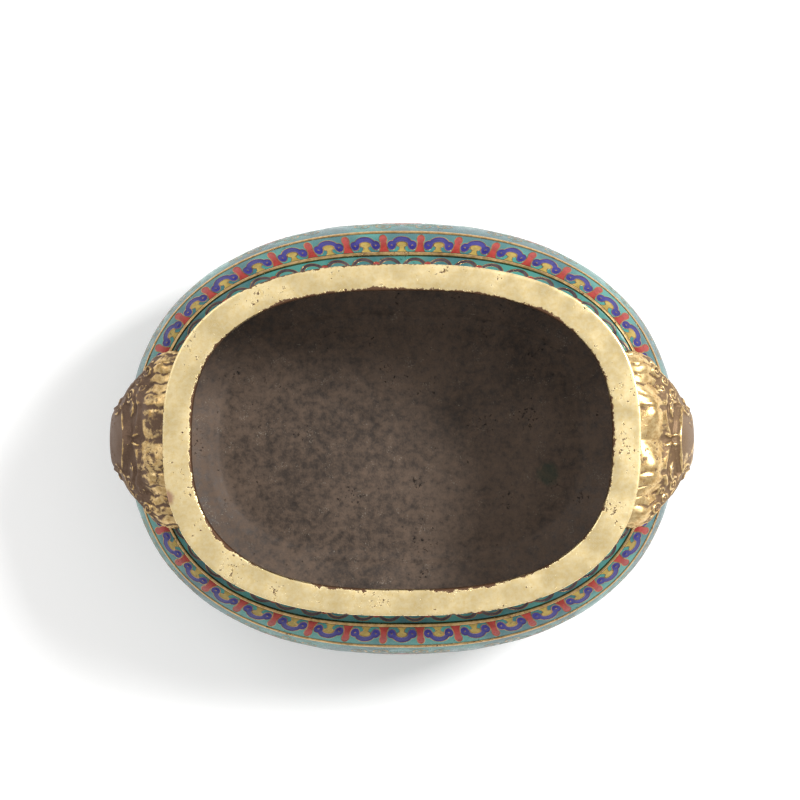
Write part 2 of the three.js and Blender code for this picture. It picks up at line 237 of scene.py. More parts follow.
def shares_to_angles(shares: Array) -> Array:
    """Plan angles that part the outline between belly and rim into equal lengths.

    Args:
        shares: shares of the way round, from 0 to 1.

    Returns:
        An angle in radians for each share.
    """
    fine = np.linspace(0, 2 * np.pi, OUTLINE_STEPS + 1)
    oval = WALL.between(BELLY, RIM, np.float64(0.5))
    x, y = WALL.ring(oval, fine)
    run = np.concatenate([[0], np.cumsum(np.hypot(np.diff(x), np.diff(y)))])
    return np.interp(np.asarray(shares) * run[-1], run, fine)


def column_angles(columns: int) -> Array:
    """Plan angles of evenly spaced columns, as one row."""
    return shares_to_angles(np.arange(columns) / columns)[None, :]


def perimeter(inset: float) -> float:
    """Length of the wall's outline.

    Args:
        inset: the outline's inset from the belly.

    Returns:
        The length in millimetres.
    """
    fine = np.linspace(0, 2 * np.pi, OUTLINE_STEPS // 2 + 1)
    x, y = WALL.ring(WALL.between(BELLY, RIM, np.float64(inset / WALL.rim_inset)), fine)
    return float(np.sum(np.hypot(np.diff(x), np.diff(y))))


# Meshes


def make_object(name: str, points: Array, faces: list[list[int]], finish: Material) -> Object:
    """Makes a smooth mesh object from points in millimetres.

    Args:
        name: the piece's name.
        points: n by 3 points.
        faces: a list of vertex indices for each face.
        finish: its material.

    Returns:
        The new object, linked to the scene.
    """
    mesh = bpy.data.meshes.new(name)
    mesh.from_pydata((points * MM).tolist(), [], faces)
    mesh.update()
    mesh.shade_smooth()
    mesh.set_sharp_from_angle(angle=math.radians(SHARP_FROM))
    mesh.materials.append(finish)
    piece = bpy.data.objects.new(name, mesh)
    bpy.context.scene.collection.objects.link(piece)
    return piece


def add_field(piece: Object, name: str, values: Array) -> None:
    """Writes one number for each vertex of a piece, for its material to read."""
    data = piece.data.attributes.new(name, "FLOAT", "POINT").data
    data.foreach_set("value", np.ascontiguousarray(values, dtype=np.float32).ravel())


def sweep(name: str, rings: Array, finish: Material, capped: bool = False) -> Object:
    """Joins rings of points into a closed skin.

    Args:
        name: the piece's name.
        rings: rows by columns by 3 points, up the outside first.
        finish: its material.
        capped: closes the first and last ring with a face, and not against each other.

    Returns:
        The new object.
    """
    rows, cols, _ = rings.shape
    r = np.arange(rows - 1 if capped else rows)[:, None]
    c = np.arange(cols)[None, :]
    above, beside = (r + 1) % rows, (c + 1) % cols
    quads = np.stack(
        [r * cols + c, r * cols + beside, above * cols + beside, above * cols + c], axis=-1
    )
    faces = quads.reshape(-1, 4).tolist()
    if capped:
        faces.append(list(range(cols))[::-1])
        faces.append([(rows - 1) * cols + i for i in range(cols)])
    return make_object(name, rings.reshape(-1, 3), faces, finish)


def ripple(x: Array, y: Array, wave: float, seed: int) -> Array:
    """A smooth hand-made unevenness, the same at every run.

    Args:
        x: place along.
        y: place across.
        wave: the usual length of a wave, in the units of x and y.
        seed: the number that the waves are drawn from.

    Returns:
        Values between -1 and 1.
    """
    draw = np.random.default_rng(seed)
    total = np.zeros(np.broadcast(x, y).shape)
    for _ in range(RIPPLE_WAVES):
        turn, shift = draw.uniform(0, 2 * np.pi, 2)
        k = 2 * np.pi / (wave * draw.uniform(0.6, 1.7))
        total = total + np.sin(k * (x * np.cos(turn) + y * np.sin(turn)) + shift)
    return total / RIPPLE_WAVES


def finish_piece(piece: Object, slot: Slot, *nodes: str) -> None:
    """Lets a piece stand for CAD nodes and ride on the body.

    Args:
        piece: the piece.
        slot: the record's slot for it; not used.
        nodes: names of the CAD nodes that it replaces.
    """
    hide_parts(*nodes)
    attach(piece, ROOT)
    LOG.info("%s stands for %s", piece.name, ", ".join(nodes))


# Materials


class Nodes:
    """Short ways to add and join nodes in one tree."""

    def __init__(self, tree: NodeTree) -> None:
        """Keeps the tree that the nodes go into."""
        self.tree = tree

    def add(self, kind: str, inputs: dict | None = None, **settings: object) -> Node:
        """Adds a node.

        Args:
            kind: the node's type name.
            inputs: values or sockets for its inputs, by name or place.
            settings: properties of the node.

        Returns:
            The new node.
        """
        node = self.tree.nodes.new(kind)
        for key, value in settings.items():
            setattr(node, key, value)
        self.feed(node, inputs or {})
        return node

    def feed(self, node: Node, inputs: dict) -> None:
        """Gives a node's inputs their sockets or values, by name or place.

        Args:
            node: the node.
            inputs: values or sockets.
        """
        for key, value in inputs.items():
            if isinstance(value, Socket):
                self.tree.links.new(value, node.inputs[key])
            else:
                node.inputs[key].default_value = value

    def field(self, name: str) -> Socket:
        """A number that add_field wrote on the mesh."""
        return self.add("ShaderNodeAttribute", attribute_name=name).outputs["Fac"]

    def math(self, operation: str, *values: object) -> Socket:
        """A Math node's result."""
        node = self.add("ShaderNodeMath", dict(enumerate(values)), operation=operation)
        return node.outputs[0]

    def weigh(self, *parts: tuple[object, float]) -> Socket:
        """The sum of sockets, each times its weight.

        Args:
            parts: pairs of a socket and its weight.

        Returns:
            The sum.
        """
        total, *others = [self.math("MULTIPLY", value, weight) for value, weight in parts]
        for part in others:
            total = self.math("ADD", total, part)
        return total

    def mix(self, share: object, low: object, high: object) -> Socket:
        """A colour between two colours."""
        given = {0: share, 6: low, 7: high}
        return self.add("ShaderNodeMix", given, data_type="RGBA").outputs[2]

    def ramp(
        self, value: object, low: float, high: float, start: float = 0.0, end: float = 1.0
    ) -> Socket:
        """A value eased from start to end as another goes from low to high.

        Args:
            value: the socket that drives it.
            low: where the easing starts.
            high: where the easing ends.
            start: the result up to low.
            end: the result from high on.

        Returns:
            The result.
        """
        given = {"Value": value, "From Min": low, "From Max": high, "To Min": start, "To Max": end}
        node = self.add("ShaderNodeMapRange", given, interpolation_type="SMOOTHSTEP")
        return node.outputs[0]

    def noise(
        self, where: object, scale: object, detail: float = 4.0, rough: float = 0.55
    ) -> Socket:
        """Noise at a place, about 0.5 on average.

        Args:
            where: the place's socket.
            scale: how many waves fit a metre, as a number or a socket.
            detail: how many finer layers it has.
            rough: how strong the finer layers are.

        Returns:
            The noise.
        """
        given = {"Vector": where, "Scale": scale, "Detail": detail, "Roughness": rough}
        return self.add("ShaderNodeTexNoise", given).outputs[0]


def rgba(colour: Colour) -> tuple[float, float, float, float]:
    """A colour with full alpha."""
    return (*colour, 1.0)


def new_group(
    name: str, inputs: dict[str, str], outputs: dict[str, str]
) -> tuple[NodeTree, Nodes, Node, Node]:
    """Starts a shader node group.

    Args:
        name: the group's name.
        inputs: socket types by name.
        outputs: socket types by name.

    Returns:
        The group, its node helper, its input node and its output node.
    """
    group = bpy.data.node_groups.new(name, "ShaderNodeTree")
    for key, kind in inputs.items():
        group.interface.new_socket(key, in_out="INPUT", socket_type=kind)
    for key, kind in outputs.items():
        group.interface.new_socket(key, in_out="OUTPUT", socket_type=kind)
    nodes = Nodes(group)
    given = nodes.add("NodeGroupInput")
    result = nodes.add("NodeGroupOutput")
    return group, nodes, given, result


FLOAT, COLOUR, VECTOR = "NodeSocketFloat", "NodeSocketColor", "NodeSocketVector"


def pitting_group() -> NodeTree:
    """Scattered pits in patches, as a mask that is 1 in the pits.

    Returns:
        The group.
    """
    group, nodes, given, result = new_group(
        "pitting", {"Vector": VECTOR, "Scale": FLOAT, "Amount": FLOAT}, {"Mask": FLOAT}
    )
    where, scale = given.outputs["Vector"], given.outputs["Scale"]
    fine = nodes.noise(where, scale, 6.0, 0.68)
    broad_scale = nodes.math("MULTIPLY", scale, 0.09)
    broad = nodes.noise(where, broad_scale, 3.0, 0.5)
    patch = nodes.ramp(broad, 0.42, 0.72, -0.09, 0.06)
    level = nodes.math("ADD", nodes.math("ADD", fine, patch), given.outputs["Amount"])
    mask = nodes.ramp(level, 0.66, 0.71)
    nodes.feed(result, {"Mask": mask})
    return group


def cell_group() -> NodeTree:
    """One enamel cell and the wire round it, laid over the cells below.

    Returns:
        The group.
    """
    group, nodes, given, result = new_group(
        "enamel_cell",
        {"Distance": FLOAT, "Below": COLOUR, "Wire below": FLOAT, "Cell": COLOUR, "Wire": FLOAT},
        {"Colour": COLOUR, "Wire": FLOAT},
    )
    distance = given.outputs["Distance"]
    inside = nodes.ramp(distance, -0.05, 0.05, 1.0, 0.0)
    colour = nodes.mix(inside, given.outputs["Below"], given.outputs["Cell"])
    half = nodes.math("MULTIPLY", given.outputs["Wire"], 0.5)
    outer = nodes.math("ADD", half, 0.07)
    away = nodes.math("ABSOLUTE", distance)
    line = nodes.math("SUBTRACT", outer, away)
    line = nodes.ramp(line, 0.0, 0.14)
    kept = nodes.math("MULTIPLY", given.outputs["Wire below"], nodes.math("SUBTRACT", 1.0, inside))
    wire = nodes.math("MAXIMUM", kept, line)
    nodes.feed(result, {"Colour": colour, "Wire": wire})
    return group


@dataclass(frozen=True)
class Cell:
    """An enamel colour laid where a distance field is negative."""

    key: str
    colour: Colour


TURQUOISE: Colour = (0.05, 0.20, 0.215)
LAPIS: Colour = (0.024, 0.018, 0.19)
CORAL: Colour = (0.36, 0.035, 0.025)
OCHRE: Colour = (0.42, 0.30, 0.07)
LEAF: Colour = (0.05, 0.15, 0.07)
AUBERGINE: Colour = (0.06, 0.035, 0.05)


@dataclass(frozen=True)
class EnamelFinish:
    """Polished enamel in wired cells, pitted and a little bloomed with age."""

    name: str
    cells: tuple[Cell, ...]
    ground: Colour = TURQUOISE
    wire_width: float = 0.28
    gilt: Colour = (0.36, 0.21, 0.08)
    bloom: Colour = (0.19, 0.18, 0.17)
    bloom_amount: float = 0.22
    grime: Colour = (0.05, 0.04, 0.035)

    def build(self, groups: dict[str, NodeTree]) -> Material:
        """Makes the material.

        Args:
            groups: the shared node groups by name.

        Returns:
            The material.
        """
        material, nodes, shader, where = new_material(self.name)
        tone = nodes.noise(where, 220.0, 5.0)
        drift = nodes.noise(where, 38.0, 2.0)
        deep = tuple(c * 0.66 for c in self.ground)
        green = (self.ground[0] * 1.05, self.ground[1] * 1.22, self.ground[2] * 0.98)
        colour = nodes.mix(nodes.ramp(drift, 0.38, 0.62), rgba(deep), rgba(green))
        wire: object = 0.0
        for cell in self.cells:
            distance = nodes.field(cell.key)
            shade = tuple(c * 0.7 for c in cell.colour)
            tint = nodes.mix(nodes.ramp(tone, 0.35, 0.65), rgba(shade), rgba(cell.colour))
            given = {"Distance": distance, "Below": colour, "Wire below": wire, "Cell": tint}
            given["Wire"] = self.wire_width
            layer = nodes.add("ShaderNodeGroup", given, node_tree=groups["cell"])
            colour, wire = layer.outputs["Colour"], layer.outputs["Wire"]
        aged = nodes.math("MULTIPLY", nodes.ramp(tone, 0.3, 0.75), self.bloom_amount)
        colour = nodes.mix(aged, colour, rgba(self.bloom))
        pits = use_group(nodes, groups["pitting"], Vector=where, Scale=900.0, Amount=0.035)
        colour = nodes.mix(nodes.math("MULTIPLY", pits, 0.65), colour, rgba(self.grime))
        worn = nodes.ramp(nodes.noise(where, 160.0, 4.0), 0.36, 0.6)
        metal = nodes.mix(worn, rgba(tuple(c * 0.35 for c in self.gilt)), rgba(self.gilt))
        colour = nodes.mix(wire, colour, metal)
        glaze = nodes.ramp(tone, 0.3, 0.7, 0.2, 0.4)
        rough = nodes.weigh((glaze, 1.0), (pits, 0.3))
        lift = nodes.math("SUBTRACT", nodes.math("MULTIPLY", wire, 0.6), pits)
        metal = nodes.math("MULTIPLY", wire, 0.9)
        nodes.feed(shader, {"Base Color": colour, "Roughness": rough, "Metallic": metal})
        nodes.feed(shader, {"Specular IOR Level": 0.25})
        add_bump(nodes, shader, lift, 0.00012)
        return material


@dataclass(frozen=True)
class Stain:
    """A round mark at a place on the burner."""

    place: tuple[float, float, float]
    radius: float
    colour: Colour
    strength: float


@dataclass(frozen=True)
class GiltFinish:
    """Mercury gilding worn through to brown copper in pits, edges and patches."""

    name: str
    gold: Colour = (0.86, 0.66, 0.31)
    pale: Colour = (0.93, 0.77, 0.45)
    brown: Colour = (0.07, 0.035, 0.018)
    film_share: float = 0.8
    pit_scale: float = 420.0
    pits: float = 0.03
    wear_field: str = ""
    edge_field: str = ""
    wear_level: float = 0.5
    stains: tuple[Stain, ...] = ()
    roughness: tuple[float, float] = (0.26, 0.44)

    def build(self, groups: dict[str, NodeTree]) -> Material:
        """Makes the material.

        Args:
            groups: the shared node groups by name.

        Returns:
            The material.
        """
        material, nodes, shader, where = new_material(self.name)
        drift = nodes.noise(where, 55.0, 4.0)
        film = nodes.noise(where, 480.0, 6.0, 0.7)
        tone = nodes.weigh((drift, 1 - self.film_share), (film, self.film_share))
        colour = nodes.mix(nodes.ramp(tone, 0.36, 0.62), rgba(self.gold), rgba(self.pale))
        grain = nodes.noise(where, 1500.0, 3.0)
        worn = use_group(
            nodes, groups["pitting"], Vector=where, Scale=self.pit_scale, Amount=self.pits
        )
        if self.edge_field:
            inward = nodes.field(self.edge_field)
            ragged = nodes.noise(where, 360.0, 7.0, 0.7)
            broad = nodes.noise(where, 30.0, 2.0)
            level = nodes.weigh((inward, 0.16), (ragged, 1.0), (broad, 0.8))
            worn = nodes.math("MAXIMUM", worn, nodes.ramp(level, 0.95, 1.03, 1.0, 0.0))
        if self.wear_field:
            relief = nodes.field(self.wear_field)
            ragged = nodes.noise(where, 260.0, 6.0, 0.66)
            broad = nodes.noise(where, 75.0, 2.0)
            level = nodes.weigh((relief, 1.0), (ragged, 0.9), (broad, 0.9))
            bare = nodes.ramp(level, self.wear_level + 0.76, self.wear_level + 0.92, 1.0, 0.0)
            worn = nodes.math("MAXIMUM", worn, bare)
        warm = nodes.mix(grain, rgba(self.brown), rgba(tuple(c * 2.6 for c in self.brown)))
        colour = nodes.mix(worn, colour, warm)
        for stain in self.stains:
            mask = stain_mask(nodes, where, stain)
            colour = nodes.mix(mask, colour, rgba(stain.colour))
        low, high = self.roughness
        smooth = nodes.ramp(drift, 0.3, 0.7, low, high)
        rough = nodes.weigh((smooth, 1.0), (worn, 0.25))
        metal = nodes.math("SUBTRACT", 1.0, nodes.math("MULTIPLY", worn, 0.35))
        nodes.feed(shader, {"Base Color": colour, "Roughness": rough, "Metallic": metal})
        height = nodes.math("SUBTRACT", nodes.math("MULTIPLY", grain, 0.35), worn)
        add_bump(nodes, shader, height, 0.00009)
        return material


@dataclass(frozen=True)
class PatinaFinish:
    """Dark brown copper inside the bowl, speckled by ash and damp."""

    name: str
    dark: Colour = (0.038, 0.026, 0.019)
    light: Colour = (0.19, 0.13, 0.092)
    speck: Colour = (0.34, 0.29, 0.23)
    mottle_share: float = 0.65
    stains: tuple[Stain, ...] = ()

    def build(self, groups: dict[str, NodeTree]) -> Material:
        """Makes the material.

        Args:
            groups: the shared node groups by name.

        Returns:
            The material.
        """
        material, nodes, shader, where = new_material(self.name)
        cloud = nodes.noise(where, 26.0, 5.0, 0.6)
        mottle = nodes.noise(where, 260.0, 6.0, 0.7)
        blend = nodes.weigh((cloud, 1 - self.mottle_share), (mottle, self.mottle_share))
        colour = nodes.mix(nodes.ramp(blend, 0.34, 0.66), rgba(self.dark), rgba(self.light))
        ash = use_group(nodes, groups["pitting"], Vector=where, Scale=1400.0, Amount=0.05)
        colour = nodes.mix(nodes.math("MULTIPLY", ash, 0.7), colour, rgba(self.speck))
        pits = use_group(nodes, groups["pitting"], Vector=where, Scale=620.0, Amount=0.02)
        colour = nodes.mix(pits, colour, rgba(tuple(c * 0.4 for c in self.dark)))
        for stain in self.stains:
            colour = nodes.mix(stain_mask(nodes, where, stain), colour, rgba(stain.colour))
        rough = nodes.ramp(mottle, 0.3, 0.7, 0.5, 0.78)
        nodes.feed(shader, {"Base Color": colour, "Roughness": rough, "Metallic": 0.25})
        add_bump(nodes, shader, nodes.math("SUBTRACT", mottle, pits), 0.00025)
        return material


def new_material(name: str) -> tuple[Material, Nodes, Node, Socket]:
    """Starts a material.

    Args:
        name: the material's name.

    Returns:
        The material, its node helper, its shader and the place on the object.
    """
    material = bpy.data.materials.new(name)
    material.use_nodes = True
    material.node_tree.nodes.clear()
    nodes = Nodes(material.node_tree)
    shader = nodes.add("ShaderNodeBsdfPrincipled")
    output = nodes.add("ShaderNodeOutputMaterial")
    nodes.feed(output, {0: shader.outputs[0]})
    where = nodes.add("ShaderNodeTexCoord").outputs["Object"]
    return material, nodes, shader, where


def use_group(nodes: Nodes, group: NodeTree, **given: object) -> Socket:
    """Places a shared group and returns its first output."""
    return nodes.add("ShaderNodeGroup", given, node_tree=group).outputs[0]


def stain_mask(nodes: Nodes, where: Socket, stain: Stain) -> Socket:
    """A ragged round mask.

    Args:
        nodes: the material's nodes.
        where: the place on the object.
        stain: the stain.

    Returns:
        The stain's strength at its middle, down to 0 outside it.
    """
    ragged = nodes.noise(where, 260.0, 5.0, 0.65)
    place = tuple(c * MM for c in stain.place)
    given = {0: where, 1: place}
    away = nodes.add("ShaderNodeVectorMath", given, operation="DISTANCE").outputs["Value"]
    reach = nodes.math("ADD", nodes.math("DIVIDE", away, stain.radius * MM), ragged)
    return nodes.ramp(reach, 1.0, 1.55, stain.strength, 0.0)


def add_bump(nodes: Nodes, shader: Node, height: object, depth: float) -> None:
    """Joins a height to the shader's normal.

    Args:
        nodes: the material's nodes.
        shader: the shader.
        height: the height's socket.
        depth: how deep a height of 1 is, in metres.
    """
    given = {"Height": height, "Distance": depth, "Strength": 0.9}
    bump = nodes.add("ShaderNodeBump", given)
    nodes.feed(shader, {"Normal": bump.outputs[0]})


# Enamel fields


FAR_AWAY = 1000.0


def ellipse(x: Array, v: Array, cx: float, cv: float, rx: float, rv: float) -> Array:
    """Roughly the distance to an ellipse, negative inside."""
    return (np.hypot((x - cx) / rx, (v - cv) / rv) - 1) * min(rx, rv)


def strokes(x: Array, v: Array, path: list[tuple[float, float]]) -> Array:
    """Distance to an open line.

    Args:
        x: place across.
        v: place along.
        path: the line's points.

    Returns:
        The distance at each place.
    """
    away = np.full(np.broadcast(x, v).shape, FAR_AWAY)
    for (x0, v0), (x1, v1) in zip(path, path[1:]):
        dx, dv = x1 - x0, v1 - v0
        along = np.clip(((x - x0) * dx + (v - v0) * dv) / (dx * dx + dv * dv + 1e-12), 0, 1)
        away = np.minimum(away, np.hypot(x - x0 - along * dx, v - v0 - along * dv))
    return away


SPIRAL_STEPS_PER_TURN = 18
SPIRAL_CLOSES_BY = 0.86


def spiral(
    cx: float, cv: float, radius: float, turns: float, start: float, hand: int = 1
) -> list[tuple[float, float]]:
    """Points of a curl that winds in to its middle.

    Args:
        cx: its middle across.
        cv: its middle along.
        radius: its outer radius.
        turns: how often it winds.
        start: the angle of its outer end, in degrees.
        hand: 1 or -1, the way it turns.

    Returns:
        The points, from the outer end in.
    """
    count = max(8, int(SPIRAL_STEPS_PER_TURN * turns))
    points = []
    for i in range(count + 1):
        share = i / count
        angle = math.radians(start) + hand * share * turns * 2 * math.pi
        r = radius * (1 - SPIRAL_CLOSES_BY * share)
        points.append((cx + r * math.cos(angle), cv + r * math.sin(angle)))
    return points


class Field(Enum):
    """The enamel fields, from the neck down."""

    NECK = "neck_scrolls"
    SHOULDER = "cloud_border"
    BELLY = "lotus_scroll"
    PETALS = "petal_border"


CLOUD_UNIT = 37.2
CLOUD_TALL = 16.9
PETALS_TALL = 26.0
LOTUS_TALL = 57.0
LOTUS_MIDDLE = 0.52
LOTUS_CURLS = ((0.62, 0.78), (0.62, -0.78), (0.3, 0.86), (0.3, -0.86))
OUTSIDE_ALL_CELLS = 9.0


@dataclass
class EnamelField:
    """One band of enamel with its repeating wired pattern."""

    field: Field
    node: str
    low: float
    high: float
    count: int
    rows: int
    columns: int
    cells: tuple[Cell, ...]
    bloom_amount: float = 0.22
    wire_lift: float = 0.14
    wire_half: float = 0.25
    uneven: float = 0.04
    back_rows: int = 14

    def stations(self, share: Array) -> Station:
        """The wall's section along the band.

        Args:
            share: shares of the band, 0 at its low edge and 1 at its high edge.

        Returns:
            Inset, height, and the outward direction as inset and height.
        """
        if self.field is Field.NECK:
            run = share * (NECK_CURVE_RUN + WALL.neck_straight)
            degrees = np.minimum(90, NECK_START + (90 - NECK_START) * run / NECK_CURVE_RUN)
            inset, z, out_in, out_z = WALL.neck(degrees)
            return inset, z + np.maximum(0, run - NECK_CURVE_RUN), out_in, out_z
        if self.field is Field.SHOULDER:
            inset = self.low + (self.high - self.low) * share
            degrees = np.degrees(np.arccos(1 - inset / WALL.shoulder_reach))
            return WALL.section(degrees)
        return WALL.section(self.low + (self.high - self.low) * share)

    def pattern(self, x: Array, v: Array) -> dict[str, Array]:
        """Distance fields of the cells.

        Args:
            x: place across a unit, in millimetres, 0 in its middle.
            v: share up the band.

        Returns:
            A distance for each cell's key.
        """
        drawn = {
            Field.NECK: self.neck_scrolls,
            Field.SHOULDER: self.cloud_heads,
            Field.BELLY: self.lotus_scroll,
            Field.PETALS: self.petals,
        }
        return drawn[self.field](x, v)

    def neck_scrolls(self, x: Array, v: Array) -> dict[str, Array]:
        """Pairs of arcs over a bud, with a row of rings above them.

        Args:
            x: place across a unit, in millimetres.
            v: share up the band.

        Returns:
            A distance for each cell's key.
        """
        half = self.period / 2
        t = v * (NECK_CURVE_RUN + WALL.neck_straight)
        side = np.abs(x)
        ring = np.abs(ellipse(side, t, half * 0.5, 6.6, half * 0.4, 5.0)) - 0.8
        scroll = np.maximum(ring, t - 6.8)
        bud = ellipse(x, t, 0, 4.6, 1.5, 1.5)
        key = np.abs(ellipse(side, t, half * 0.5, 12.3, half * 0.3, 2.0)) - 0.5
        return {"scroll": np.minimum(scroll, key), "bud": bud}

    def cloud_heads(self, x: Array, v: Array) -> dict[str, Array]:
        """Cloud heads over a cap on a stem, with pegs between them, drawn on a fixed unit.

        Args:
            x: place across a unit, in millimetres.
            v: share up the band.

        Returns:
            A distance for each cell's key.
        """
        unit = self.period / CLOUD_UNIT
        px = x / unit
        pv = CLOUD_TALL * (1 - v)
        side = np.abs(px)
        edge = CLOUD_UNIT / 2 - side
        peg = ellipse(edge, pv, 0, 11.2, 3.9, 4.4)
        foot = edge - 3.0 - 2.6 * np.exp(-pv / 2.2)
        peg = np.minimum(peg, np.maximum(foot, pv - 11))
        arch = ellipse(side, pv, 0, 6.6, 10.6, 7.4)
        hollow = ellipse(side, pv, 0, 4.2, 5.6, 4.8)
        lobe = ellipse(side, pv, 10.6, 5.6, 4.6, 4.3)
        cloud = np.maximum(np.minimum(np.maximum(arch, 5.0 - pv), lobe), -hollow)
        cap = ellipse(side, pv, 0, 6.4, 5.4, 2.6)
        stem = np.maximum(side - 2.2 - 3.0 * np.exp(-pv / 1.3), pv - 7)
        curl = strokes(side, pv, spiral(10.8, 5.4, 0.9, 0.6, 200, -1)) - 0.02
        fields = {"cloud": cloud, "peg": peg, "cap": np.minimum(cap, stem), "curl": curl}
        return {key: value * unit for key, value in fields.items()}

    def petals(self, x: Array, v: Array) -> dict[str, Array]:
        """Upright petals with a heart and a core, and a bud in each gap.

        Args:
            x: place across a unit, in millimetres.
            v: share up the band.

        Returns:
            A distance for each cell's key.
        """
        half = self.period / 2
        t = v * PETALS_TALL
        tip, heart_tip = 23.0, 18.5
        bend = np.clip(1 - (t / tip) ** 3, 0, None)
        petal = np.maximum(np.abs(x) - half * 0.86 * np.sqrt(bend), t - tip)
        inner = np.clip(1 - (t / heart_tip) ** 3, 0, None)
        heart = np.maximum(np.abs(x) - half * 0.56 * np.sqrt(inner), t - heart_tip)
        core = ellipse(x, t, 0, 7.5, half * 0.26, 4.2)
        gap = ellipse(half - np.abs(x), t, 0, 20.5, half * 0.3, 4.0)
        return {"petal": petal, "heart": heart, "core": core, "gap": gap}

    def lotus_scroll(self, x: Array, v: Array) -> dict[str, Array]:
        """A lotus in each unit on a winding vine, with curls, leaves and buds.

        Args:
            x: place across a unit, in millimetres.
            v: share up the band.

        Returns:
            A distance for each cell's key.
        """
        half = self.period / 2
        t = (v - LOTUS_MIDDLE) * LOTUS_TALL
        r, turn = np.hypot(x, t), np.arctan2(t, x)
        outer = r - 12.5 * (1 + 0.16 * np.abs(np.cos(4 * turn)) - 0.08)
        middle = r - 8.2 * (1 + 0.2 * np.abs(np.sin(4 * turn)) - 0.1)
        heart = r - 3.6
        vine = np.abs(t - 13.5 * np.sin(np.pi * np.abs(x) / half) * np.sign(x + 1e-9)) - 0.35
        leaf = np.full(x.shape, FAR_AWAY)
        curl = np.full(x.shape, FAR_AWAY)
        for across, up in LOTUS_CURLS:
            for way in (1, -1):
                cx, cv = way * half * across, up * 22.0
                curl = np.minimum(curl, strokes(x, t, spiral(cx, cv, 4.6, 1.5, 90 * way, way)))
                leaf = np.minimum(leaf, ellipse(x, t, cx - way * 5.2, cv * 0.86, 2.8, 1.7))
        curl = np.maximum(curl - 0.3, -outer)
        vine = np.minimum(np.maximum(vine, 0.2 - outer), curl)
        bud = ellipse(half - np.abs(x), t, 0, 0, 4.4, 5.6)
        flower = {"outer": outer, "middle": middle, "heart": heart}
        return {"vine": vine, "leaf": leaf, "bud": bud} | flower

    @property
    def period(self) -> float:
        """Length of one unit of the pattern, in millimetres."""
        inset = self.stations(np.float64(0.5))[0]
        return perimeter(float(inset)) / self.count

    def build(self, groups: dict[str, NodeTree]) -> Object:
        """Makes the band's mesh, its distance fields and its material.

        Args:
            groups: the shared node groups by name.

        Returns:
            The band.
        """
        finish = EnamelFinish(self.field.value, self.cells, bloom_amount=self.bloom_amount)
        shares = np.arange(self.columns) / self.columns
        angle = column_angles(self.columns)
        share = np.linspace(0, 1, self.rows)[:, None]
        x = ((shares * self.count + 0.5) % 1 - 0.5)[None, :] * self.period
        fields = self.pattern(np.broadcast_to(x, (self.rows, self.columns)), share + 0 * x)
        wires = np.min(np.abs(np.stack(list(fields.values()))), axis=0)
        lift = self.wire_lift * np.clip(1.6 - wires / self.wire_half, 0, 1)
        lift = lift - self.wire_lift - self.uneven * (1 + ripple(x, share * 40, 34.0, 5))
        outside = WALL.place(self.stations(share), angle, lift)
        back = np.linspace(1, 0, self.back_rows)[:, None]
        inside = WALL.place(self.stations(back), angle, np.float64(-ENAMEL))
        band = sweep(self.field.value, np.concatenate([outside, inside]), finish.build(groups))
        padding = np.full((self.back_rows, self.columns), OUTSIDE_ALL_CELLS)
        for key, value in fields.items():
            add_field(band, key, np.concatenate([value, padding]))
        finish_piece(band, Slot.ENAMEL, self.node)
        return band


# Gilt rings


@dataclass
class Fillet:
    """A flat gilt wire between two enamel fields, a little wavy from the hand."""

    name: str
    inset: float
    upper: bool
    width: float = 1.6
    proud: float = 0.35
    columns: int = 720

    def build(self, finish: Material) -> Object:
        """Makes the fillet as a rounded strip let into the enamel.

        Args:
            finish: its material.

        Returns:
            The fillet.
        """
        middle = WALL.angle_at(self.inset, self.upper)
        reach = WALL.shoulder_reach if self.upper else WALL.lower_reach
        rise = WALL.shoulder_rise if self.upper else WALL.lower_rise
        tilt = math.radians(middle)
        half = math.degrees(
            self.width / 2 / math.hypot(reach * math.sin(tilt), rise * math.cos(tilt))
        )
        angle = column_angles(self.columns)
        run = (np.arange(self.columns) / self.columns)[None, :] * perimeter(self.inset)
        across = np.array([-1, -1, -0.8, -0.3, 0.3, 0.8, 1, 1])[:, None]
        height = np.array([-1.0, 0.05, 0.8, 1.0, 1.0, 0.8, 0.05, -1.0])[:, None]
        sway = 1 + 0.14 * ripple(run, across * 3, 24.0, 11)
        worn = 0.9 + 0.1 * ripple(run, across, 9.0, 12)
        over = np.where(height > 0, height * self.proud * worn, height * ENAMEL)
        degrees = middle + across * half * sway
        rings = WALL.place(WALL.section(degrees), angle, np.broadcast_to(over, degrees.shape))
        piece = sweep(self.name.replace("fillet", "wire"), rings, finish)
        finish_piece(piece, Slot.GILT, self.name)
        return piece


